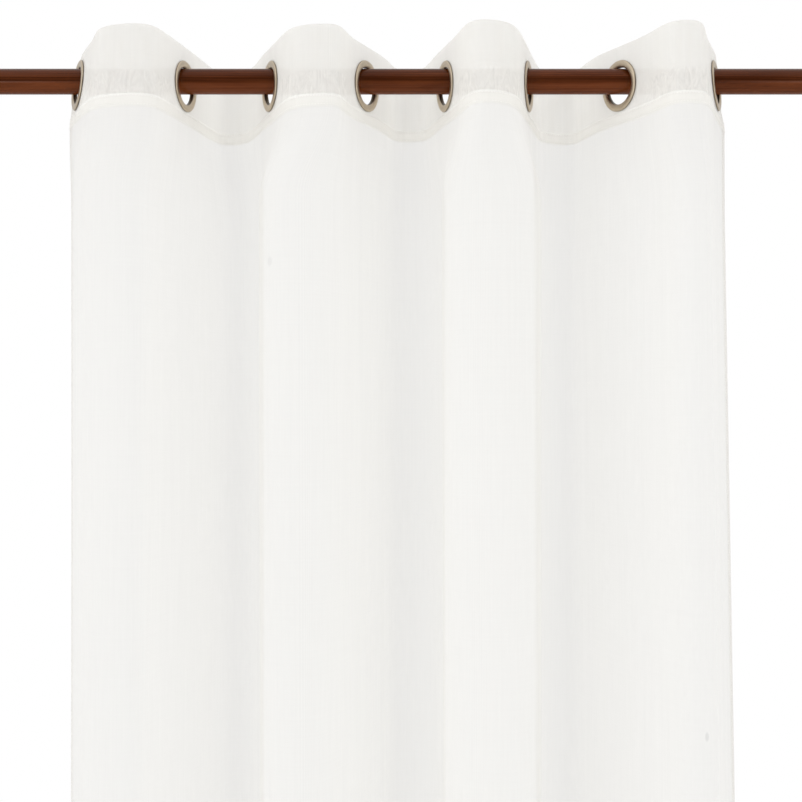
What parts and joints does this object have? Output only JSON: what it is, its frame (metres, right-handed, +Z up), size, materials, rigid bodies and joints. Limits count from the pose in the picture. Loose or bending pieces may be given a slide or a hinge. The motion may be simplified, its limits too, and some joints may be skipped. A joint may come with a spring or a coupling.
{
  "type": "sheer voile curtain with its wooden curtain rod",
  "caption": "Sheer voile curtain hanging in deep wave folds through metal eyelets from a plain round wooden rod.",
  "frame": {"origin": "middle of the rod, on its axis, where the wall brackets' line of support lies", "axes": "+X along the rod to its right end as seen from the room, -Y towards the room, +Z up"},
  "size_m": [1.2, 0.2, 2.4],
  "materials": {
    "voile": "sheer off-white plain-weave voile, matte, double in the heading and hems",
    "eyelet_metal": "satin nickel with a warm grey tone",
    "rod_wood": "mahogany-brown stained wood, satin lacquer, grain along the rod"
  },
  "bodies": {
    "root": {"curtain_panel": "voile", "curtain_rod": "rod_wood", "eyelet_1_front": "eyelet_metal", "eyelet_1_back": "eyelet_metal", "eyelet_2_front": "eyelet_metal", "eyelet_2_back": "eyelet_metal", "eyelet_3_front": "eyelet_metal", "eyelet_3_back": "eyelet_metal", "eyelet_4_front": "eyelet_metal", "eyelet_4_back": "eyelet_metal", "eyelet_5_front": "eyelet_metal", "eyelet_5_back": "eyelet_metal", "eyelet_6_front": "eyelet_metal", "eyelet_6_back": "eyelet_metal", "eyelet_7_front": "eyelet_metal", "eyelet_7_back": "eyelet_metal", "eyelet_8_front": "eyelet_metal", "eyelet_8_back": "eyelet_metal"}
  },
  "joints": []
}
